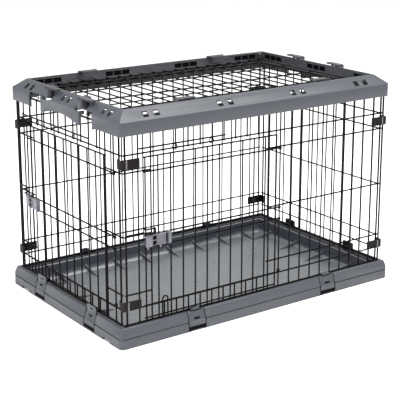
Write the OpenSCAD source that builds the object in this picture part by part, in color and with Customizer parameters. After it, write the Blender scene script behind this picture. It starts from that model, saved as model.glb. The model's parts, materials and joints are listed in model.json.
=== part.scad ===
// Folding wire dog crate: plastic base and lid rims, four wire panels, two doors, a lift-out tray.
// Origin: middle of the footprint, on the floor. X runs along the crate, the large door faces -Y.

/* [Footprint] */
// overall length of the base
length = 920; // [700:1:1200]
// overall depth of the base
depth = 600; // [450:1:800]

/* [Heights] */
// top of the base rim
base_top = 52; // [40:1:70]
// lower edge of the lid skirt
skirt_low = 545; // [400:1:700]
// upper edge of the lid skirt
skirt_top = 579; // [430:1:740]
// ridge of the lid rim
ridge_top = 605; // [450:1:770]

/* [Wires] */
// radius of the upright wires
r_up = 2.05; // [1:0.05:2.5]
// radius of the level wires and the door frames
r_lev = 2.15; // [1:0.05:3]
// radius of the corner posts
r_post = 2.6; // [1.5:0.05:3]
// radius of the top and bottom wires, which the clips turn on
r_rail = 2.7; // [1.8:0.05:3]
// spacing of the uprights on the long sides
pitch_long = 37.6; // [25:0.1:50]
// spacing of the uprights on the ends
pitch_end = 40; // [25:0.1:50]

/* [Plastic] */
// wall thickness of the rims and the tray
wall = 3; // [2:0.1:5]
// running clearance between a wire and an eye that turns on it
run = 0.06; // [0.02:0.01:0.1]
// gap between faces of pieces that move past each other
gap = 0.4; // [0.3:0.05:1]

/* [Hidden] */
$fn = 32;
weld = 0.05;
inset = 23;
px = length / 2 - inset;
py = depth / 2 - inset;
rail_z = base_top + 1;
head_z = skirt_low + 17;
lev = r_up + r_lev + weld;
levels = [91, 131, 285, 449, 494];
lid_in = 12;
lid_l = length - 2 * lid_in;
lid_w = depth - 2 * lid_in;
slope_w = 32;
lip = slope_w + 4;
grille_z = 576;
clip_x = 226;
clip_y = 137;
clip_w = 52;
clip_gap = 2;
clip_axis = [7, 9];
pin_r = 1.5;

hinge_x = px - 10 * pitch_long;
open_x0 = px - 21 * pitch_long;
open_x1 = px - 11 * pitch_long;
open_z0 = levels[0];
open_z1 = levels[4];
door_x0 = -375;
door_x1 = 41;
door_y0 = -208;
door_y1 = 205;
door_z0 = 63;
door_z1 = 485;
bolt_wires = [251, 283];
door_levels = [door_z0, 96.5, 251, 283, 447.5, door_z1];
// level door wires that end in an eye, and how far the eye sits above its wire
eyes = [[96.5, 3.5], [251, -3.5], [283, -3.5], [447.5, -3.5]];
hinge_y = -6 * pitch_end;
door_out = r_up + gap + r_lev;
door_face = door_out + r_lev + weld + r_up;

slate = [0.36, 0.38, 0.42];
slate_dark = [0.25, 0.27, 0.31];
steel = [0.03, 0.03, 0.035];
clear_grey = [0.62, 0.64, 0.67];
clip_black = [0.09, 0.08, 0.08];

// ---- shared helpers ----

module wire_x(x0, x1, y, z, r) {
    translate([x0, y, z]) rotate([0, 90, 0]) cylinder(h = x1 - x0, r = r);
}

module wire_y(y0, y1, x, z, r) {
    translate([x, y0, z]) rotate([-90, 0, 0]) cylinder(h = y1 - y0, r = r);
}

module wire_z(x, y, z0, z1, r) {
    translate([x, y, z0]) cylinder(h = z1 - z0, r = r);
}

module box(x0, x1, y0, y1, z0, z1) {
    translate([x0, y0, z0]) cube([x1 - x0, y1 - y0, z1 - z0]);
}

// A profile of points [inward distance, height], run along the side that faces -Y.
module side(l, w, points) {
    translate([-l / 2, -w / 2, 0]) rotate([90, 0, 90]) linear_extrude(l) polygon(points);
}

module mitred_side(l, w, points, top) {
    reach = 100;
    intersection() {
        side(l, w, points);
        translate([0, 0, -1]) linear_extrude(top + 2)
            polygon([[-l / 2, -w / 2], [l / 2, -w / 2],
                     [l / 2 - reach, reach - w / 2], [reach - l / 2, reach - w / 2]]);
    }
}

module round_block(l, w, r, z0, z1) {
    translate([0, 0, z0]) linear_extrude(z1 - z0) {
        square([l - 2 * r, w], center = true);
        square([l, w - 2 * r], center = true);
        for (x = [r - l / 2, l / 2 - r], y = [r - w / 2, w / 2 - r])
            translate([x, y]) circle(r);
    }
}

// A closed rim with mitred slopes and a rounded outer corner.
module rim(l, w, r, points, top) {
    intersection() {
        union() for (turn = [0, 180]) {
            rotate([0, 0, turn]) mitred_side(l, w, points, top);
            rotate([0, 0, turn - 90]) mitred_side(w, l, points, top);
        }
        round_block(l, w, r, -1, top + 1);
    }
}

// The quarter turn of a thin upright wall at each rounded corner of a rim.
module corner_wall(l, w, r, z0, z1) {
    intersection() {
        difference() {
            round_block(l, w, r, z0, z1);
            round_block(l - 2 * wall, w - 2 * wall, r - wall, z0 - 1, z1 + 1);
        }
        union() for (x = [-l / 2, l / 2 - r], y = [-w / 2, w / 2 - r])
            box(x, x + r, y, y + r, z0, z1);
    }
}

// Clip seats in turning order: [turn about Z, distance along that side, distance of the side from the middle].
clip_seats = [
    [0, -clip_x, depth / 2], [0, clip_x, depth / 2],
    [180, -clip_x, depth / 2], [180, clip_x, depth / 2],
    [-90, -clip_y, length / 2], [-90, clip_y, length / 2],
    [90, -clip_y, length / 2], [90, clip_y, length / 2]
];

module at_seat(seat) {
    rotate([0, 0, seat[0]]) translate([seat[1], -seat[2], 0]) children();
}

// ---- base ----

base_points = [
    [0, 0], [0, 24.6], [3.4, 24.6], [3.4, 26.8], [1.8, 27.6], [9, base_top - 1], [10.5, base_top], [17, base_top],
    [17, base_top - 6], [29, base_top - 6], [29, wall], [60, wall], [60, 0], [26, 0],
    [26, base_top - 9], [14, base_top - 9], [14, base_top - 3], [11.8, base_top - 3],
    [6.6, 28.4], [6.2, 22], [3, 20.5], [3, 0]
];

module base_frame() {
    color(slate) difference() {
        union() {
            rim(length, depth, 14, base_points, base_top);
            corner_wall(length, depth, 14, 0, 24.6);
            for (seat = clip_seats, c = [-32.5, 28.5]) at_seat(seat)
                box(c, c + 4, 2.5, 12, 1, 14);
        }
        for (seat = clip_seats) at_seat(seat) wire_x(-40, 40, clip_axis[0], clip_axis[1], pin_r + run);
        for (seat = clip_seats) at_seat(seat) {
            half = clip_w / 2 + clip_gap;
            box(-half, half, -1, 16.5, 2.5, base_top + 1);
            box(-half, half, 16, 31, 44.5, base_top + 1);
            box(-half + 8, half - 8, -1, 4, -1, 8);
        }
        for (side_sign = [-1, 1], y = [-225, 225])
            box(side_sign * length / 2 - 4, side_sign * length / 2 + 4, y - 18, y + 18, -1, 7);
    }
}

// The leaf closes the rim's notch. It swings out about a pin at its foot, and its hook lets the
// panel's bottom wire go.
module base_clip(seat, rise) {
    tip = rail_z + rise;
    grip = 10;
    color(slate) at_seat(seat) difference() {
        union() {
            translate([-clip_w / 2, 0, 0]) rotate([90, 0, 90]) linear_extrude(clip_w)
                polygon([[0.3, 9], [0.3, 25], [2.2, 26.8], [9.2, base_top - 1], [10.7, base_top],
                         [13.5, base_top], [13.5, base_top - 3], [12, base_top - 3],
                         [6, 26], [4, 24], [4, 9]]);
            wire_x(-clip_w / 2, clip_w / 2, clip_axis[0], clip_axis[1], 3.4);
            wire_x(-clip_w / 2 - 5, clip_w / 2 + 5, clip_axis[0], clip_axis[1], pin_r);
            translate([2 - grip, 0, 0]) rotate([90, 0, 90]) linear_extrude(2 * grip)
                polygon([[10, base_top - 4], [10, base_top], [20, rail_z + 3.5], [20, rail_z - 3.5]]);
            wire_x(2 - grip, 2 + grip, inset, rail_z, 5.2);
            translate([0, 11.6, 0]) rotate([90, 0, 0]) linear_extrude(2.6) intersection() {
                translate([-clip_w / 2, base_top - 5]) square([clip_w, 40]);
                if (rise < 12) translate([0, tip - 20]) circle(20);
                else union() {
                    for (c = [-17, 17]) translate([c, tip - 6]) circle(6);
                    translate([-17, tip - 12]) square([34, 12]);
                    translate([-23, 0]) square([46, tip - 6]);
                }
            }
        }
        wire_x(-20, 20, inset, rail_z, r_rail + gap);
        box(-20, 20, inset, inset + 9, rail_z - 6, rail_z + 6);
        box(-20, 20, inset - 2.2, inset + 9, rail_z - 6, rail_z);
        if (rise > 12) {
            box(-7, 8, -1, 13, 38, 42);
            box(-5, 8, 5, 13, 57, 60.5);
            for (c = [-clip_w / 2 - 1, 23]) box(c, c + 4, -1, 20, 43, base_top + 1);
        } else box(-9, 9, -1, 12, 31, 35);
    }
}

module tray() {
    l = length - 66;
    w = depth - 66;
    slant = [[0, 43], [3, 46], [9, 46], [10, 44.6], [13, 15], [15, 12], [23, 10.5], [27, 6],
             [101, 6], [101, 3.5], [25, 3.5], [21, 8], [13.4, 9.4], [10.4, 13.5], [7.4, 42.6]];
    color(slate_dark) {
        rim(l, w, 12, slant, 46);
        box(100 - l / 2, l / 2 - 100, 100 - w / 2, w / 2 - 100, 3.5, 6);
        for (turn = [0, 180]) {
            for (i = [-3.5:1:3.5]) rotate([0, 0, turn]) tray_rib(i * 97.5, w);
            for (y = [-190, -63, 63, 190]) rotate([0, 0, turn - 90]) tray_rib(y, l);
        }
    }
}

module tray_rib(at, w) {
    translate([at - 1.5, -w / 2, 0]) rotate([90, 0, 90]) linear_extrude(3)
        polygon([[12, 9.8], [11.8, 24], [16, 21], [90, 6.6], [90, 5], [22, 5], [20, 8.5]]);
}

// ---- wire panels ----

module long_panel(has_door) {
    color(steel) {
        wire_x(1 - px, px, -py, rail_z, r_rail);
        wire_x(1 - px, px, -py, head_z, r_rail);
        for (k = [0:23]) {
            x = px - k * pitch_long;
            r = k == 0 || k == 23 ? r_post : r_up;
            y = r_up - r - py;
            if (has_door && k > 11 && k < 21) {
                wire_z(x, y, rail_z + r_rail + weld, open_z0 + r_lev, r);
                wire_z(x, y, open_z1 - r_lev, head_z - r_rail - weld, r);
            } else wire_z(x, y, rail_z + r_rail + weld, head_z - r_rail - weld, r);
        }
        for (z = levels)
            if (has_door && z > open_z0 && z < open_z1) {
                wire_x(-px + 7, open_x0 + r_up, lev - py, z, r_lev);
                wire_x(open_x1 - r_up, px, lev - py, z, r_lev);
            } else wire_x(-px + 7, px, lev - py, z, r_lev);
    }
}

module end_panel(has_door) {
    post = py - 10;
    color(steel) {
        wire_y(-post, post, -px, rail_z, r_rail);
        wire_y(-post, post, -px, head_z, r_rail);
        for (y = concat([-post, post], [for (k = [-6:6]) k * pitch_end])) {
            r = abs(y) == post ? r_post : r_up;
            x = r_up - r - px;
            if (has_door && abs(y) < 5 * pitch_end - 1) {
                wire_z(x, y, rail_z + r_rail + weld, open_z0 + r_lev, r);
                wire_z(x, y, open_z1 - r_lev, head_z - r_rail - weld, r);
            } else wire_z(x, y, rail_z + r_rail + weld, head_z - r_rail - weld, r);
        }
        for (z = levels)
            if (has_door && z > open_z0 && z < open_z1) {
                wire_y(-post, r_up - 5 * pitch_end, lev - px, z, r_lev);
                wire_y(5 * pitch_end - r_up, post, lev - px, z, r_lev);
            } else wire_y(-post, post, lev - px, z, r_lev);
    }
}

// A stop wire above an opening, with two small eyes hanging from it.
module stop_wire(x0, x1, z, eyes, plane) {
    y = plane - lev;
    color(steel) {
        wire_x(x0, x1, y, z, r_lev);
        for (x = eyes) translate([x, y, z - 9]) rotate([90, 0, 0]) rotate_extrude()
            translate([7, 0]) circle(1.2);
    }
}

// ---- doors ----

// A hairpin of wire across the two lowest wires of the large door.
module hairpin(x, y) {
    for (side_sign = [-8, 8]) wire_z(x + side_sign, y, base_top + 2, 104, r_up);
    translate([x, y, 104]) rotate([90, 0, 0]) rotate_extrude(angle = 180)
        translate([8, 0]) circle(r_up);
}

// A wire door in the plane that faces -Y, hung from an upright at hinge_at.
module door(x0, x1, count, hinge_at, plane) {
    step = (x1 - x0) / count;
    difference() {
        union() {
            for (k = [0:count])
                wire_z(x0 + k * step, plane - door_face, door_z0 - r_lev, door_z1 + r_lev, r_up);
            for (z = door_levels)
                wire_x(x0 - r_up, x1 + r_up, plane - door_out, z, r_lev);
            for (e = eyes) {
                wire_x(x1, hinge_at, plane - door_out, e[0], r_lev);
                wire_z(hinge_at, plane, e[0] + e[1] - 2.5, e[0] + e[1] + 2.5, 4.2);
            }
        }
        for (e = eyes) wire_z(hinge_at, plane, e[0] + e[1] - 6, e[0] + e[1] + 6, r_up + run);
    }
}

module front_door() {
    color(steel) {
        door(door_x0, door_x1, 11, hinge_x, -py);
        hairpin(-318.3, -py - door_face);
    }
}

// The end door is the same leaf laid out along the end, its hinge towards the front.
module end_door() {
    color(steel) rotate([0, 0, -90]) door(-door_y1, -door_y0, 10, -hinge_y, -px);
}

// A sliding bolt that rides on two level door wires, between uprights that stand step apart.
module bolt(x0, step, plane) {
    y1 = plane - door_face - r_up - gap;
    y0 = y1 - 8.6;
    difference() {
        union() {
            box(x0 - 2, x0 + 14, y0 + 2, y1, 255, 284);
            box(x0 + 12, x0 + 32, y0 + 3.5, y1, 256, 284);
            box(x0 + 31, x0 + 54, y0 + 1, y1, 256.5, 284.5);
            box(x0 + 53, x0 + 62, y0 + 4, y1, 256, 284);
            box(x0 + 61, x0 + 68, y0 - 3, y1, 256, 287);
            for (x = [x0 + 2.5, x0 + step + 2.3]) {
                box(x, x + 4.5, y1 - 1, plane - door_out + 0.8, bolt_wires[0] - 4, bolt_wires[0] + 8);
                box(x, x + 4.5, y1 - 1, plane - door_out + 0.8, bolt_wires[1] - 4, bolt_wires[1] + 4);
            }
        }
        for (z = bolt_wires) wire_x(x0 - 10, x0 + 72, plane - door_out, z, r_lev + run);
        for (z = [263.4, 276.6])
            translate([x0 + 22, y1 + 1, z]) rotate([90, 0, 0]) cylinder(h = 14, r = 5.8);
        box(x0 + 54.5, x0 + 60.5, y0 - 1, y1 - 2.5, 258.5, 281.5);
        box(x0 + 34, x0 + 50, y0, y0 + 2, 262, 280);
    }
}

module front_bolt() {
    color(clear_grey) bolt(door_x0, (door_x1 - door_x0) / 11, -py);
}

module end_bolt() {
    color(clear_grey) rotate([0, 0, -90]) bolt(-door_y1, (door_y1 - door_y0) / 10, -px);
}

// The loop of wire that a bolt's nose meets, welded to the two uprights beside the opening.
module keeper(x0, x1, jog, plane) {
    y = plane - r_up - r_lev + 0.2;
    color(steel) for (z = [291, 302.5]) {
        wire_x(x0, jog, y, z, r_lev);
        wire_y(y - 14, y, jog, z, r_lev);
        wire_x(jog, x1, y - 14, z, r_lev);
    }
    color(steel) wire_z(x1, y - 14, 291, 302.5, r_lev);
}

module front_keeper() {
    keeper(-px + 7, -352, -380, -py);
}

module end_keeper() {
    rotate([0, 0, -90]) keeper(7 - py, -188, -215, -px);
}

// ---- corner clips ----

// A plate across the face of a long panel, with a hook that the end panel's post snaps behind.
module corner_clip(z0, z1) {
    y = r_up - py - 2 * r_post - gap;
    post = [r_up - r_post - px, 10 - py];
    bore = r_post + gap;
    outer = bore + 2.4;
    color(clip_black) {
        box(post[0] - outer, 47 - px, y - 4.5, y, z0, z1);
        box(39 - px, 47 - px, y - 6, y - 4, z0 + 0.5, z1 - 0.5);
        for (z = [z0 + 1, z1 - 3]) box(post[0] - 3, 45 - px, y - 5.5, y - 4, z, z + 2);
        box(post[0] - outer, post[0] - bore, y - 1, post[1], z0, z1);
        difference() {
            wire_z(post[0], post[1], z0, z1, outer);
            wire_z(post[0], post[1], z0 - 1, z1 + 1, bore);
            box(post[0] - 0.6, post[0] + 12, post[1] - 12, post[1] + 12, z0 - 1, z1 + 1);
        }
    }
}

module clip_pair(z0, z1) {
    corner_clip(z0, z1);
    mirror([1, 0, 0]) corner_clip(z0, z1);
}

// ---- lid ----

lid_points = [
    [0, skirt_low], [0, skirt_top], [slope_w, ridge_top], [lip, ridge_top], [lip, grille_z - 5],
    [lip - wall, grille_z - 5], [lip - wall, ridge_top - wall - 0.5], [slope_w, ridge_top - wall - 0.5],
    [wall, skirt_top - wall / 2], [wall, skirt_low]
];

module lid_rim() {
    color(slate) difference() {
        union() {
            rim(lid_l, lid_w, 10, lid_points, ridge_top);
            corner_wall(lid_l, lid_w, 10, skirt_low, skirt_top - 1);
            for (turn = [0, 180]) rotate([0, 0, turn - 90]) {
                for (c = [-168, -78, 23, 118]) translate([c, -lid_l / 2, 0]) lid_rib();
                for (c = [-184, -116, 88, 156]) translate([c, -lid_l / 2, 0]) gap_wall();
                for (g = [[-116, -92], [66, 91]]) translate([g[0], -lid_l / 2, 0])
                    box(0, g[1] - g[0], 0, wall, skirt_low - 5, skirt_low + 8);
            }
            lid_ears();
        }
        lid_bores();
        for (turn = [0, 180]) {
            rotate([0, 0, turn]) for (c = [-348, -121, 121, 348], s = [-16.5, 16.5])
                box(c + s - 8, c + s + 8, 7 - lid_w / 2, 22 - lid_w / 2, skirt_top - 6, ridge_top);
            rotate([0, 0, turn]) for (c = [-348, -121, 121, 348], s = [-28, 0, 28])
                box(c + s - 12, c + s + 14, lip - 6 - lid_w / 2, lip + 2 - lid_w / 2, 584, 598);
            rotate([0, 0, turn - 90]) {
                for (c = [-205, 0, 205], s = [-15, 15])
                    box(c + s - 7, c + s + 7, 8 - lid_l / 2, 24 - lid_l / 2, skirt_top - 6, ridge_top);
                for (c = [-205, 0, 205], s = [-42, -14, 14])
                    box(c + s - 11, c + s + 15, lip - 6 - lid_l / 2, lip + 2 - lid_l / 2, 584, 598);
                for (g = [[-181, -116], [91, 156]])
                    box(g[0], g[1], -1 - lid_l / 2, 8 - lid_l / 2, skirt_low - 1, skirt_top + 4);
                for (g = [[71.5, 118.5], [-106, -60]])
                    box(g[0], g[1], -1 - lid_l / 2, 27 - lid_l / 2, skirt_top - 3, ridge_top + 1);
                translate([-12, 8 - lid_l / 2, skirt_low - 291]) rotate([90, 0, 0])
                    cylinder(h = 12, r = 300);
            }
        }
    }
}

module lid_rib() {
    translate([-1.5, 0, 0]) rotate([90, 0, 90]) linear_extrude(3)
        polygon([[wall - 1, head_z + 5], [wall - 1, skirt_top - 1], [lip - wall + 1, ridge_top - 4],
                 [lip - wall + 1, grille_z - 3]]);
}

// The return wall beside a gap in the end skirts, stepped over the end panel's top wire.
module gap_wall() {
    step_z = head_z + r_rail + 1.5;
    rotate([90, 0, 90]) linear_extrude(3)
        polygon([[0, skirt_low - 4], [7.6, skirt_low - 4], [7.6, step_z], [17, step_z],
                 [17, skirt_top + 8], [14, skirt_top + 8], [0, skirt_top - 1]]);
}

module lid_grille() {
    x_end = lid_l / 2 - lip + 1;
    y_end = lid_w / 2 - lip + 1;
    color(steel) {
        for (y = [-126, 0, 126]) wire_x(-x_end, x_end, y, grille_z, r_lev);
        for (y = [3.5 - y_end, y_end - 3.5]) wire_x(-x_end, x_end, y, grille_z, r_lev);
        for (k = [-10:10]) wire_y(-y_end, y_end, k * pitch_end, grille_z + lev, r_up);
    }
}

// Latches on the lid: [turn, pad start, pad end, plate end] along an end rim, in its own direction.
end_latches = [[-90, 72, 92, 142], [-90, -105, -84, -42], [90, 72, 92, 142], [90, -105, -84, -42]];
// The same for the long rims: [turn, middle of the plate].
side_latches = [[0, -clip_x], [0, clip_x], [180, -clip_x], [180, clip_x]];
latch_half = 26;
pin_z = ridge_top + 3.6;
end_pin_d = 33;
side_pin_d = lip + 4.5;

module end_latch(seat) {
    c0 = min(seat[1], seat[3]);
    c1 = max(seat[2], seat[3]);
    half = (seat[2] - seat[1]) / 2;
    round_r = 10.5;
    plate_d = 6 + round_r;
    color(slate_dark) rotate([0, 0, seat[0]]) translate([0, -lid_l / 2, 0]) {
        wire_z(seat[1] + half, 3 + half, skirt_top + 1, ridge_top + 3, half);
        box(seat[1], seat[2], 3 + half, 25, skirt_top + 1, ridge_top + 3);
        translate([0, 0, ridge_top + 1.6]) linear_extrude(3) {
            for (c = [c0 + round_r, c1 - round_r]) translate([c, plate_d]) circle(round_r);
            translate([c0 + round_r, plate_d - round_r]) square([c1 - c0 - 2 * round_r, 2 * round_r]);
            translate([seat[1], plate_d]) square([seat[2] - seat[1], end_pin_d - plate_d]);
        }
        wire_x(seat[1], seat[2], end_pin_d, pin_z, 2.4);
        wire_x(seat[1] - 3.6, seat[2] + 3.6, end_pin_d, pin_z, pin_r);
    }
}

module side_latch(seat) {
    color(slate_dark) rotate([0, 0, seat[0]]) translate([seat[1], -lid_w / 2, 0]) {
        box(-latch_half, latch_half, side_pin_d, side_pin_d + 20, ridge_top + 1.2, ridge_top + 5);
        box(4 - latch_half, latch_half - 4, side_pin_d + 16, side_pin_d + 20, ridge_top - 12, ridge_top + 4);
        wire_x(-latch_half, latch_half, side_pin_d, pin_z, 2.6);
        wire_x(-latch_half - 3.6, latch_half + 3.6, side_pin_d, pin_z, pin_r);
    }
}

// A pair of ears that hold the ends of a latch's pin.
module ears(c0, c1, d) {
    for (c = [c0 - 3.6, c1 + 0.6]) {
        box(c, c + 3, d - 3, d + 3, ridge_top - 1, pin_z);
        wire_x(c, c + 3, d, pin_z, 3);
        box(c, c + 3, lip - 2, max(d, lip - 1), ridge_top - 8, ridge_top + 1);
    }
}

module lid_ears() {
    for (seat = end_latches) rotate([0, 0, seat[0]]) translate([0, -lid_l / 2, 0])
        ears(seat[1], seat[2], end_pin_d);
    for (seat = side_latches) rotate([0, 0, seat[0]]) translate([seat[1], -lid_w / 2, 0])
        ears(-latch_half, latch_half, side_pin_d);
}

module lid_bores() {
    for (seat = end_latches) rotate([0, 0, seat[0]]) translate([0, -lid_l / 2, 0])
        wire_x(seat[3] - 130, seat[3] + 130, end_pin_d, pin_z, pin_r + run);
    for (seat = side_latches) rotate([0, 0, seat[0]]) translate([seat[1], -lid_w / 2, 0])
        wire_x(-60, 60, side_pin_d, pin_z, pin_r + run);
}

// ---- the crate ----

base_frame();
tray();
lid_rim();
lid_grille();
long_panel(true);  // front_panel
rotate([0, 0, 180]) long_panel(false);  // back_panel
end_panel(true);  // left_panel
rotate([0, 0, 180]) end_panel(false);  // right_panel
front_door();
end_door();
front_keeper();
end_keeper();
front_bolt();
end_bolt();
stop_wire(-389, -126, 508, [-283, -170], -py);  // front_stop
rotate([0, 0, -90]) stop_wire(-239, 121, 511, [-150, 50], -px);  // end_stop
clip_pair(94, 118);  // front_lower_clips
clip_pair(462, 486);  // front_upper_clips
rotate([0, 0, 180]) clip_pair(94, 118);  // back_lower_clips
rotate([0, 0, 180]) clip_pair(462, 486);  // back_upper_clips
base_clip(clip_seats[0], 9);  // base_clip_1
base_clip(clip_seats[1], 9);  // base_clip_2
base_clip(clip_seats[2], 9);  // base_clip_3
base_clip(clip_seats[3], 9);  // base_clip_4
base_clip(clip_seats[4], 15);  // base_clip_5
base_clip(clip_seats[5], 15);  // base_clip_6
base_clip(clip_seats[6], 15);  // base_clip_7
base_clip(clip_seats[7], 15);  // base_clip_8
end_latch(end_latches[0]);  // lid_latch_1
end_latch(end_latches[1]);  // lid_latch_2
end_latch(end_latches[2]);  // lid_latch_3
end_latch(end_latches[3]);  // lid_latch_4
side_latch(side_latches[0]);  // lid_latch_5
side_latch(side_latches[1]);  // lid_latch_6
side_latch(side_latches[2]);  // lid_latch_7
side_latch(side_latches[3]);  // lid_latch_8
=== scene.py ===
"""Folding wire dog crate: slate plastic rims, black wire panels, two doors and a lift-out tray."""

import json
import math

import bmesh
import bpy
from mathutils import Matrix, Vector


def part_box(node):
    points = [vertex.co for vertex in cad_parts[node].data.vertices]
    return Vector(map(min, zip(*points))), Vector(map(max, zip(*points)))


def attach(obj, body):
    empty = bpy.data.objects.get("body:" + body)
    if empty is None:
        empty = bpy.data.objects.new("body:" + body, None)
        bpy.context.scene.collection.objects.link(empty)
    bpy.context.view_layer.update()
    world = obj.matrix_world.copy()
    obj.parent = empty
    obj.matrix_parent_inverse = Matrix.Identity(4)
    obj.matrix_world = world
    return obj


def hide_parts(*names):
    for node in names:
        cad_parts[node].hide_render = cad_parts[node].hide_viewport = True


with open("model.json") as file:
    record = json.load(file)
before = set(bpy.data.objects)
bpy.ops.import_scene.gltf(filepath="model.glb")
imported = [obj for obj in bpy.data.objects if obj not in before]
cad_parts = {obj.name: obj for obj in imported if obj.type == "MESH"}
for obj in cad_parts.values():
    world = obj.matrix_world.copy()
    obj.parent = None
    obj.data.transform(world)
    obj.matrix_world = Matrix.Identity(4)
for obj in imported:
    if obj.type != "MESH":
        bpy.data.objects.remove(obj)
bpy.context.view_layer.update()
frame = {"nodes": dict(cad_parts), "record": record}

MM = 0.001


# ---- shader groups ----


def add_socket(group, name, in_out, kind, value=None):
    socket = group.interface.new_socket(name=name, in_out=in_out, socket_type=kind)
    if value is not None:
        socket.default_value = value
    return socket


def new_group(name, inputs, outputs):
    group = bpy.data.node_groups.new(name, "ShaderNodeTree")
    for label, kind, value in inputs:
        add_socket(group, label, "INPUT", kind, value)
    for label, kind in outputs:
        add_socket(group, label, "OUTPUT", kind)
    return group, group.nodes.new("NodeGroupInput"), group.nodes.new("NodeGroupOutput")


FLOAT, COLOUR = "NodeSocketFloat", "NodeSocketColor"


def make_grain_group():
    """Fine moulded texture: a height for the bump and a small change of colour."""
    group, gin, gout = new_group(
        "moulded_grain",
        [("Scale", FLOAT, 900.0), ("Mottle Scale", FLOAT, 9.0), ("Colour", COLOUR, (0.3, 0.3, 0.3, 1)),
         ("Mottle", FLOAT, 0.12), ("Roughness", FLOAT, 0.5), ("Roughness Change", FLOAT, 0.12)],
        [("Colour", COLOUR), ("Height", FLOAT), ("Roughness", FLOAT)],
    )
    n, link = group.nodes, group.links.new
    place = n.new("ShaderNodeTexCoord")
    fine = n.new("ShaderNodeTexNoise")
    fine.inputs["Detail"].default_value = 3
    fine.inputs["Roughness"].default_value = 0.65
    link(place.outputs["Object"], fine.inputs["Vector"])
    link(gin.outputs["Scale"], fine.inputs["Scale"])
    wide = n.new("ShaderNodeTexNoise")
    wide.inputs["Detail"].default_value = 5
    link(place.outputs["Object"], wide.inputs["Vector"])
    link(gin.outputs["Mottle Scale"], wide.inputs["Scale"])
    centre = n.new("ShaderNodeMath")
    centre.operation = "SUBTRACT"
    centre.inputs[1].default_value = 0.5
    link(wide.outputs["Fac"], centre.inputs[0])
    amount = n.new("ShaderNodeMath")
    amount.operation = "MULTIPLY_ADD"
    amount.inputs[2].default_value = 1.0
    link(centre.outputs[0], amount.inputs[0])
    link(gin.outputs["Mottle"], amount.inputs[1])
    shade = n.new("ShaderNodeVectorMath")
    shade.operation = "SCALE"
    link(gin.outputs["Colour"], shade.inputs[0])
    link(amount.outputs[0], shade.inputs["Scale"])
    link(shade.outputs[0], gout.inputs["Colour"])
    rough = n.new("ShaderNodeMath")
    rough.operation = "MULTIPLY_ADD"
    link(centre.outputs[0], rough.inputs[0])
    link(gin.outputs["Roughness Change"], rough.inputs[1])
    link(gin.outputs["Roughness"], rough.inputs[2])
    link(rough.outputs[0], gout.inputs["Roughness"])
    link(fine.outputs["Fac"], gout.inputs["Height"])
    return group


def make_edge_group():
    """Edges rubbed lighter where they are handled."""
    group, gin, gout = new_group(
        "rubbed_edges",
        [("Colour", COLOUR, (0.3, 0.3, 0.3, 1)), ("Edge Colour", COLOUR, (0.5, 0.5, 0.5, 1)),
         ("Amount", FLOAT, 0.4), ("Start", FLOAT, 0.52), ("End", FLOAT, 0.6)],
        [("Colour", COLOUR), ("Mask", FLOAT)],
    )
    n, link = group.nodes, group.links.new
    shape = n.new("ShaderNodeNewGeometry")
    place = n.new("ShaderNodeTexCoord")
    breakup = n.new("ShaderNodeTexNoise")
    breakup.inputs["Scale"].default_value = 70
    breakup.inputs["Detail"].default_value = 4
    link(place.outputs["Object"], breakup.inputs["Vector"])
    ramp = n.new("ShaderNodeMapRange")
    link(shape.outputs["Pointiness"], ramp.inputs["Value"])
    link(gin.outputs["Start"], ramp.inputs["From Min"])
    link(gin.outputs["End"], ramp.inputs["From Max"])
    worn = n.new("ShaderNodeMath")
    worn.operation = "MULTIPLY"
    link(ramp.outputs[0], worn.inputs[0])
    link(breakup.outputs["Fac"], worn.inputs[1])
    scaled = n.new("ShaderNodeMath")
    scaled.operation = "MULTIPLY"
    scaled.use_clamp = True
    link(worn.outputs[0], scaled.inputs[0])
    link(gin.outputs["Amount"], scaled.inputs[1])
    mix = n.new("ShaderNodeMix")
    mix.data_type = "RGBA"
    link(scaled.outputs[0], mix.inputs[0])
    link(gin.outputs["Colour"], mix.inputs[6])
    link(gin.outputs["Edge Colour"], mix.inputs[7])
    link(mix.outputs[2], gout.inputs["Colour"])
    link(scaled.outputs[0], gout.inputs["Mask"])
    return group


def ramp_node(n, link, value, low, high):
    ramp = n.new("ShaderNodeMapRange")
    ramp.interpolation_type = "SMOOTHSTEP"
    ramp.inputs["From Min"].default_value = low
    ramp.inputs["From Max"].default_value = high
    link(value, ramp.inputs["Value"])
    return ramp.outputs[0]


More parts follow.
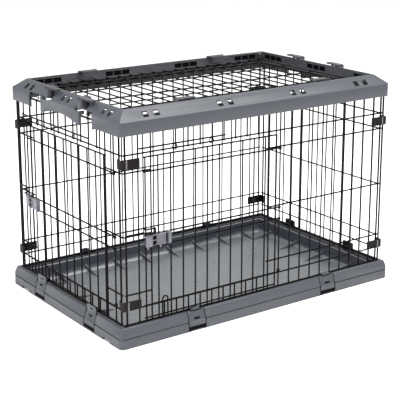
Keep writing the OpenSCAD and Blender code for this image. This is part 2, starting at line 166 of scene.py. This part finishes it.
def make_shade_group():
    """Painted shade: a darker tone on faces turned towards the middle and on steep faces, where shade
    falls; and a darker tone above a given height.
    """
    group, gin, gout = new_group(
        "tone_and_painted_shade",
        [("Colour", COLOUR, (0.3, 0.3, 0.3, 1)), ("Dark Tone And Shade", COLOUR, (0.1, 0.1, 0.1, 1)),
         ("Inward Shade", FLOAT, 0.0), ("Upright Shade", FLOAT, 0.0), ("Above", FLOAT, 0.0), ("Height", FLOAT, 1.0)],
        [("Colour", COLOUR), ("Mask", FLOAT)],
    )
    n, link = group.nodes, group.links.new
    place = n.new("ShaderNodeTexCoord")
    flat = n.new("ShaderNodeVectorMath")
    flat.operation = "MULTIPLY"
    flat.inputs[1].default_value = (1, 1, 0)
    link(place.outputs["Object"], flat.inputs[0])
    facing = n.new("ShaderNodeVectorMath")
    facing.operation = "DOT_PRODUCT"
    link(flat.outputs[0], facing.inputs[0])
    link(place.outputs["Normal"], facing.inputs[1])
    split = n.new("ShaderNodeSeparateXYZ")
    link(place.outputs["Normal"], split.inputs[0])
    level = n.new("ShaderNodeSeparateXYZ")
    link(place.outputs["Object"], level.inputs[0])
    rise = n.new("ShaderNodeMath")
    rise.operation = "SUBTRACT"
    link(level.outputs["Z"], rise.inputs[0])
    link(gin.outputs["Height"], rise.inputs[1])
    masks = [(ramp_node(n, link, facing.outputs["Value"], -0.05, -0.15), "Inward Shade"),
             (ramp_node(n, link, split.outputs["Z"], 0.75, 0.45), "Upright Shade"),
             (ramp_node(n, link, rise.outputs[0], -0.0004, 0.0004), "Above")]
    total = None
    for mask, label in masks:
        part = n.new("ShaderNodeMath")
        part.operation = "MULTIPLY"
        link(mask, part.inputs[0])
        link(gin.outputs[label], part.inputs[1])
        if total is None:
            total = part.outputs[0]
            continue
        most = n.new("ShaderNodeMath")
        most.operation = "MAXIMUM"
        link(total, most.inputs[0])
        link(part.outputs[0], most.inputs[1])
        total = most.outputs[0]
    mix = n.new("ShaderNodeMix")
    mix.data_type = "RGBA"
    link(total, mix.inputs[0])
    link(gin.outputs["Colour"], mix.inputs[6])
    link(gin.outputs["Dark Tone And Shade"], mix.inputs[7])
    link(mix.outputs[2], gout.inputs["Colour"])
    link(total, gout.inputs["Mask"])
    return group


GRAIN = make_grain_group()
RUBBED = make_edge_group()
SHADE = make_shade_group()


def make_finish(name, colour, edge, rough, grain=900.0, bump=0.06, mottle=0.1, wear=0.5, coat=0.0,
                specular=0.5, dark_tone_and_shade=None, inward_shade=0.0, upright_shade=0.0, above=0.0, height=1.0):
    finish = bpy.data.materials.new(name)
    finish.use_nodes = True
    n, link = finish.node_tree.nodes, finish.node_tree.links.new
    surface = n["Principled BSDF"]
    grained = n.new("ShaderNodeGroup")
    grained.node_tree = GRAIN
    grained.inputs["Scale"].default_value = grain
    # The dark tone mixed in here is painted shade on inner and steep faces, and a darker tone above a
    # height.
    if dark_tone_and_shade:
        toned = n.new("ShaderNodeGroup")
        toned.node_tree = SHADE
        toned.inputs["Colour"].default_value = (*colour, 1)
        toned.inputs["Dark Tone And Shade"].default_value = (*dark_tone_and_shade, 1)
        toned.inputs["Inward Shade"].default_value = inward_shade
        toned.inputs["Upright Shade"].default_value = upright_shade
        toned.inputs["Above"].default_value = above
        toned.inputs["Height"].default_value = height
        link(toned.outputs["Colour"], grained.inputs["Colour"])
    else:
        grained.inputs["Colour"].default_value = (*colour, 1)
    grained.inputs["Mottle"].default_value = mottle
    grained.inputs["Roughness"].default_value = rough
    rubbed = n.new("ShaderNodeGroup")
    rubbed.node_tree = RUBBED
    rubbed.inputs["Edge Colour"].default_value = (*edge, 1)
    rubbed.inputs["Amount"].default_value = wear
    link(grained.outputs["Colour"], rubbed.inputs["Colour"])
    link(rubbed.outputs["Colour"], surface.inputs["Base Color"])
    link(grained.outputs["Roughness"], surface.inputs["Roughness"])
    lump = n.new("ShaderNodeBump")
    lump.inputs["Strength"].default_value = bump
    lump.inputs["Distance"].default_value = 0.001
    link(grained.outputs["Height"], lump.inputs["Height"])
    link(lump.outputs["Normal"], surface.inputs["Normal"])
    surface.inputs["Specular IOR Level"].default_value = specular
    surface.inputs["Coat Weight"].default_value = coat
    surface.inputs["Coat Roughness"].default_value = 0.25
    return finish


# Slate: faces turned towards the middle of the crate take a near-black painted shade.
SLATE = make_finish("slate_plastic", (0.034, 0.037, 0.0445), (0.115, 0.12, 0.132), 0.44, wear=0.3,
                    specular=0.38, dark_tone_and_shade=(0.008, 0.0085, 0.011), inward_shade=0.92)
# Tray: steep faces, the walls and the sides of the ribs, take a darker painted shade.
TRAY = make_finish("tray_plastic", (0.088, 0.093, 0.098), (0.20, 0.21, 0.22), 0.28, wear=0.3,
                   dark_tone_and_shade=(0.026, 0.028, 0.038), upright_shade=1.0)
# Lid latches: faces turned towards the middle take a near-black painted shade; the part above 606 mm is
# darker too.
LATCH = make_finish("latch_plastic", (0.034, 0.037, 0.0445), (0.10, 0.105, 0.115), 0.38, wear=0.3,
                    specular=0.38, dark_tone_and_shade=(0.007, 0.0075, 0.009), inward_shade=0.9, above=1.0, height=0.6062)
WIRE = make_finish("black_wire", (0.0022, 0.0022, 0.0026), (0.008, 0.008, 0.008), 0.34, grain=500,
                   bump=0.06, wear=0.1, specular=0.05)
BOLT = make_finish("bolt_plastic", (0.060, 0.060, 0.074), (0.26, 0.26, 0.29), 0.26, mottle=0.5, wear=0.4)
CLIP = make_finish("clip_plastic", (0.0052, 0.0040, 0.0040), (0.02, 0.017, 0.016), 0.5, specular=0.09)
# Near-black: painted shade in gaps, slots, holes and behind openings, and the colour of the small hooks
# and rings.
NEAR_BLACK_AND_SHADE = make_finish("near_black_and_painted_shade", (0.0012, 0.0012, 0.0014), (0.002, 0.002, 0.002), 0.7, wear=0.1,
                   specular=0.05)
# Pale grey for the painted highlight on the posts of the corner clips.
POST_HIGHLIGHT = make_finish("clip_post_highlight", (0.09, 0.085, 0.085), (0.16, 0.15, 0.15), 0.35, wear=0.2, specular=0.3)

FINISH_OF = {
    "slate_plastic": SLATE, "tray_plastic": TRAY, "black_wire": WIRE,
    "bolt_plastic": BOLT, "clip_plastic": CLIP,
}


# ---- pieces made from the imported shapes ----


def softened(node, body, width, slot):
    """The node's own shape with its edges rounded over, standing for it."""
    source = frame["nodes"][node]
    mesh = source.data.copy()
    mesh.name = node + "_soft"
    shape = bmesh.new()
    shape.from_mesh(mesh)
    bmesh.ops.remove_doubles(shape, verts=shape.verts, dist=1e-6)
    bmesh.ops.dissolve_limit(shape, angle_limit=math.radians(0.5), verts=shape.verts, edges=shape.edges)
    shape.to_mesh(mesh)
    shape.free()
    mesh.shade_smooth()
    piece = bpy.data.objects.new(node + "_soft", mesh)
    bpy.context.collection.objects.link(piece)
    rounding = piece.modifiers.new("rounding", "BEVEL")
    rounding.width = width
    rounding.segments = 2
    rounding.limit_method = "ANGLE"
    rounding.angle_limit = math.radians(28)
    rounding.use_clamp_overlap = True
    rounding.harden_normals = True
    apply_all(piece)
    finish_piece(piece, LATCH if node.startswith("lid_latch") else FINISH_OF[slot])
    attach(piece, body)
    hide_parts(node)
    return piece


def apply_all(piece):
    graph = bpy.context.evaluated_depsgraph_get()
    made = bpy.data.meshes.new_from_object(piece.evaluated_get(graph))
    piece.modifiers.clear()
    piece.data = made


def finish_piece(piece, material):
    piece.data.materials.clear()
    piece.data.materials.append(material)
    for face in piece.data.polygons:
        face.material_index = 0


SLOT_OF = {part["node"]: part["material_slot"] for part in frame["record"]["subparts"]}
BODY_OF = {
    node: body for body, nodes in frame["record"]["behaviour"]["bodies"].items() for node in nodes
}

ROUNDED = {"base_frame": 0.9, "tray": 1.0, "lid_rim": 1.0, "front_bolt": 0.8, "end_bolt": 0.8}
for node in SLOT_OF:
    if node.endswith("_clips"):
        ROUNDED[node] = 0.8
    if node.startswith(("base_clip", "lid_latch")):
        ROUNDED[node] = 0.8
for node, slot in SLOT_OF.items():
    if node in ROUNDED:
        softened(node, BODY_OF[node], ROUNDED[node] * MM, slot)
    else:
        shape = frame["nodes"][node]
        for place in shape.material_slots:
            place.material = FINISH_OF[slot]
        if not shape.material_slots:
            shape.data.materials.append(FINISH_OF[slot])


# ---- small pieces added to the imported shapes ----


LENGTH, DEPTH = 0.920, 0.600
RIM_LENGTH, RIM_DEPTH = 0.896, 0.576
CLIP_HALF = 0.026
SEATS = [(turn, along, away)
         for turn, reach, away in ((0, 0.226, DEPTH / 2), (180, 0.226, DEPTH / 2),
                                   (-90, 0.137, LENGTH / 2), (90, 0.137, LENGTH / 2))
         for along in (-reach, reach)]


def swept(shape, outline, start, end, turn=0.0, shift=(0, 0, 0)):
    """Add a bar along X with an outline of (depth, height), then turn it and move it."""
    spin = Matrix.Rotation(math.radians(turn), 4, "Z") @ Matrix.Translation(Vector(shift))
    rings = []
    for x in (start, end):
        rings.append([shape.verts.new(spin @ Vector((x, y, z))) for y, z in outline])
    count = len(outline)
    for k in range(count):
        shape.faces.new((rings[0][k], rings[0][(k + 1) % count], rings[1][(k + 1) % count], rings[1][k]))
    shape.faces.new(list(reversed(rings[0])))
    shape.faces.new(rings[1])


def tube(shape, path, radius, turn=0.0, shift=(0, 0, 0), sides=10):
    """Add a round wire along a path of points."""
    spin = Matrix.Rotation(math.radians(turn), 4, "Z") @ Matrix.Translation(Vector(shift))
    points = [Vector(p) for p in path]
    rings = []
    side = None
    for k, point in enumerate(points):
        ahead = (points[min(k + 1, len(points) - 1)] - points[max(k - 1, 0)]).normalized()
        if side is None:
            side = ahead.orthogonal().normalized()
        side = (side - ahead * side.dot(ahead)).normalized()
        up = ahead.cross(side)
        rings.append([shape.verts.new(spin @ (point + radius * (math.cos(a) * side + math.sin(a) * up)))
                      for a in (2 * math.pi * i / sides for i in range(sides))])
    for low, high in zip(rings, rings[1:]):
        for i in range(sides):
            shape.faces.new((low[i], low[(i + 1) % sides], high[(i + 1) % sides], high[i]))
    shape.faces.new(list(reversed(rings[0])))
    shape.faces.new(rings[-1])


def added_piece(name, build, material, body):
    shape = bmesh.new()
    build(shape)
    bmesh.ops.recalc_face_normals(shape, faces=shape.faces)
    mesh = bpy.data.meshes.new(name)
    shape.to_mesh(mesh)
    shape.free()
    piece = bpy.data.objects.new(name, mesh)
    bpy.context.collection.objects.link(piece)
    mesh.shade_smooth()
    mesh.set_sharp_from_angle(angle=math.radians(35))
    finish_piece(piece, material)
    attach(piece, body)
    return piece


def clip_gaps(shape):
    """Painted shade: near-black strips in the gaps beside each base latch, where shade falls."""
    line = [(0.0000, 0.0035), (0.0000, 0.0250), (0.0021, 0.0270), (0.0091, 0.0510), (0.0106, 0.0521),
            (0.0150, 0.0521), (0.0150, 0.0480), (0.0135, 0.0470), (0.0060, 0.0260), (0.0045, 0.0035)]
    half_gap, half_width = 0.0010, 0.0014
    for turn, along, away in SEATS:
        for side in (-1, 1):
            middle = along + side * (CLIP_HALF + half_gap)
            swept(shape, line, middle - half_width, middle + half_width, turn, (0, -away, 0))


def foot_sills(shape):
    """The thin edge of the rim that closes each latch's opening along the floor."""
    line = [(0.0003, 0.0004), (0.0000, 0.0007), (0.0000, 0.0026), (0.0003, 0.0029), (0.0014, 0.0029),
            (0.0014, 0.0004)]
    reach = 0.0275
    for turn, along, away in SEATS:
        swept(shape, line, along - reach, along + reach, turn, (0, -away, 0))


def latch_shadows(index):
    """Painted shade on one base latch: dark sheets in the slots of its face, a painted shadow at its
    foot, and a painted shadow strip higher on its face.
    """
    turn, along, away = SEATS[index]
    on_long_side = index < 4
    foot_reach = 0.0252
    face_start, face_height, face_slope = 0.0022, 0.0268, 0.2893

    def build(shape):
        shift = (along, -away, 0)
        swept(shape, [(0.0001, 0.0042), (0.0001, 0.0135), (0.0034, 0.0135), (0.0034, 0.0042)],
              -foot_reach, foot_reach, turn, shift)
        if on_long_side:
            low, high, start, end = 0.0304, 0.0356, -0.0090, 0.0090
        else:
            low, high, start, end = 0.0376, 0.0424, -0.0070, 0.0080
        deep = [face_start + (z - face_height) * face_slope for z in (low, high)]
        swept(shape, [(deep[0] - 0.0001, low), (deep[1] - 0.0001, high), (deep[1] + 0.0015, high),
                      (deep[0] + 0.0015, low)], start, end, turn, shift)
        if on_long_side:
            swept(shape, [(0.0086, 0.0519), (0.0086, 0.0553), (0.0096, 0.0553), (0.0096, 0.0519)],
                  -0.0162, 0.0162, turn, shift)
        else:
            swept(shape, [(0.0089, 0.0568), (0.0089, 0.0607), (0.0099, 0.0607), (0.0099, 0.0568)],
                  -0.0056, 0.0084, turn, shift)
    return build


def inner_hook(index):
    """The dark ring on the inside of an end latch that holds the panel's bottom wire."""
    turn, along, away = SEATS[index]
    half_width, half_height, middle_height = 0.0125, 0.0095, 0.0585
    depth, wire_radius, steps = 0.0132, 0.0021, 28

    def build(shape):
        path = [(along + half_width * math.cos(a), depth, middle_height + half_height * math.sin(a))
                for a in (2 * math.pi * k / steps for k in range(steps + 1))]
        tube(shape, path, wire_radius, turn, (0, -away, 0))
    return build


def skirt_hooks(shape):
    """A small hook in each gap of the end skirts, over the end panel's top wire."""
    wire_radius, bend, bend_depth, bend_height = 0.0011, 0.0052, 0.011, 0.562
    bar_reach, bar_depth, bar_height = 0.012, 0.0115, 0.5705
    for turn in (-90, 90):
        for along in (-0.150, 0.122):
            arc = [(along, bend_depth - bend * math.sin(a), bend_height + bend * math.cos(a))
                   for a in (math.radians(d) for d in range(-20, 121, 20))]
            stem = [(along, 0.0135, 0.580), (along, 0.0132, 0.572)]
            tube(shape, stem + arc, wire_radius, turn, (0, -RIM_LENGTH / 2, 0))
            bar = [(along + side * bar_reach, bar_depth, bar_height) for side in (-1, 1)]
            tube(shape, bar, wire_radius, turn, (0, -RIM_LENGTH / 2, 0))


def clip_post_highlights(low, high, turn):
    """A painted highlight: a pale strip on a pair of corner clips where the post shows."""
    post, half_width, front, back = 0.428, 0.0018, -0.28655, -0.2846

    def build(shape):
        line = [(back, low), (back, high), (front, high), (front, low)]
        for side in (-1, 1):
            middle = side * post
            swept(shape, line, middle - half_width, middle + half_width, turn)
    return build


def plate(shape, ring, front, back, turn):
    """Add a flat plate with the outline given as (along, height), between two depths."""
    spin = Matrix.Rotation(math.radians(turn), 4, "Z")
    faces = [[shape.verts.new(spin @ Vector((x, y, z))) for x, z in ring] for y in (front, back)]
    count = len(ring)
    for k in range(count):
        shape.faces.new((faces[0][k], faces[0][(k + 1) % count], faces[1][(k + 1) % count], faces[1][k]))
    shape.faces.new(list(reversed(faces[0])))
    shape.faces.new(faces[1])


def bolt_shadows(node, turn):
    """Painted shade: dark plates in the holes and the finger groove of one sliding bolt."""
    low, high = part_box(node)
    handle_rise, end_margin = 0.003, 0.002
    hole_radius, hole_sides = 0.0057, 24
    face = (low[1] if turn == 0 else low[0]) + handle_rise
    start = (low[0] if turn == 0 else -high[1]) + end_margin

    def build(shape):
        for z in (0.2634, 0.2766):
            ring = [(start + 0.022 + hole_radius * math.cos(a), z + hole_radius * math.sin(a))
                    for a in (2 * math.pi * k / hole_sides for k in range(hole_sides))]
            plate(shape, ring, face + 0.0036, face + 0.0050, turn)
        ring = [(start + 0.0547, 0.2587), (start + 0.0603, 0.2587), (start + 0.0603, 0.2813),
                (start + 0.0547, 0.2813)]
        plate(shape, ring, face + 0.0042, face + 0.0056, turn)
    return build


def rim_opening_shades(shape):
    """Painted shade: near-black plates inside the hollow of the rim, behind the openings of its inner
    lip, on the back and right sides only.
    """
    line = [(0.0300, 0.5815), (0.0300, 0.6005), (0.0312, 0.6005), (0.0312, 0.5815)]
    back = (180, RIM_DEPTH / 2, 0.044, 0.046, (-0.348, -0.121, 0.121, 0.348))
    right = (90, RIM_LENGTH / 2, 0.058, 0.034, (-0.205, 0.0, 0.205))
    for turn, away, before, after, middles in (back, right):
        for middle in middles:
            swept(shape, line, middle - before, middle + after, turn, (0, -away, 0))


# Painted shade in the gaps beside the base latches.
added_piece("latch_gap_shades", clip_gaps, NEAR_BLACK_AND_SHADE, "base")
added_piece("foot_sills", foot_sills, SLATE, "base")
# Painted shade behind the openings of the rim's inner lip.
added_piece("rim_opening_shades", rim_opening_shades, NEAR_BLACK_AND_SHADE, "lid")
# Painted shade in the holes and grooves of the sliding bolts.
added_piece("front_bolt_shadows", bolt_shadows("front_bolt", 0), NEAR_BLACK_AND_SHADE, "large_door_bolt")
added_piece("end_bolt_shadows", bolt_shadows("end_bolt", -90), NEAR_BLACK_AND_SHADE, "small_door_bolt")
# Painted shade and painted shadows on the base latches.
for k in range(8):
    added_piece("latch_shadows_%d" % (k + 1), latch_shadows(k), NEAR_BLACK_AND_SHADE,
                "base_latch_%d" % (k + 1))
for k in range(4, 8):
    added_piece("latch_inner_ring_%d" % (k + 1), inner_hook(k), NEAR_BLACK_AND_SHADE,
                "base_latch_%d" % (k + 1))
added_piece("skirt_hooks", skirt_hooks, NEAR_BLACK_AND_SHADE, "lid")
# Painted highlights on the posts of the corner clips.
for name, turn in (("front", 0), ("back", 180)):
    for level, low, high in (("lower", 0.0945, 0.1175), ("upper", 0.4625, 0.4855)):
        added_piece("%s_%s_clip_edges" % (name, level), clip_post_highlights(low, high, turn), POST_HIGHLIGHT,
                    "base")


# ---- floor, light and camera ----


def make_floor():
    reach, drop = 12.0, 0.0005
    mesh = bpy.data.meshes.new("floor")
    mesh.from_pydata([(-reach, -reach, 0), (reach, -reach, 0), (reach, reach, 0), (-reach, reach, 0)],
                     [], [(0, 1, 2, 3)])
    floor = bpy.data.objects.new("floor", mesh)
    bpy.context.collection.objects.link(floor)
    paper = bpy.data.materials.new("studio_paper")
    paper.use_nodes = True
    surface = paper.node_tree.nodes["Principled BSDF"]
    surface.inputs["Base Color"].default_value = (0.93, 0.93, 0.93, 1)
    surface.inputs["Roughness"].default_value = 0.9
    mesh.materials.append(paper)
    floor.location.z = -drop


def make_light(name, place, aim, size, power, glossy=True):
    data = bpy.data.lights.new(name, "AREA")
    data.shape = "RECTANGLE"
    data.size, data.size_y = size
    data.energy = power
    lamp = bpy.data.objects.new(name, data)
    lamp.location = place
    lamp.rotation_euler = (Vector(aim) - Vector(place)).to_track_quat("-Z", "Y").to_euler()
    lamp.visible_camera = False
    lamp.visible_glossy = glossy
    bpy.context.collection.objects.link(lamp)


def make_camera():
    azimuth, elevation, distance = math.radians(-35.38), math.radians(14.49), 3.2548
    target = Vector((-0.0061, 0, 0.3636))
    back = Vector((math.sin(azimuth) * math.cos(elevation), -math.cos(azimuth) * math.cos(elevation),
                   math.sin(elevation)))
    data = bpy.data.cameras.new("camera")
    data.sensor_width = 36
    data.lens = 102.59
    data.shift_y = -0.1
    camera = bpy.data.objects.new("camera", data)
    camera.location = target + back * distance
    camera.rotation_euler = (-back).to_track_quat("-Z", "Y").to_euler()
    bpy.context.collection.objects.link(camera)
    bpy.context.scene.camera = camera


def make_studio():
    make_floor()
    make_light("top_softbox", (0.3, -1.25, 3.2), (0, 0, 0.3), (3.0, 2.0), 230)
    make_light("left_softbox", (-3.5, -0.5, 0.75), (0, 0, 0.3), (2.6, 1.5), 125, glossy=False)
    world = bpy.data.worlds.new("studio_white")
    world.use_nodes = True
    world.node_tree.nodes["Background"].inputs["Color"].default_value = (1, 1, 1, 1)
    world.node_tree.nodes["Background"].inputs["Strength"].default_value = 1.0
    bpy.context.scene.world = world
    bpy.context.scene.view_settings.view_transform = "Standard"


make_studio()
make_camera()
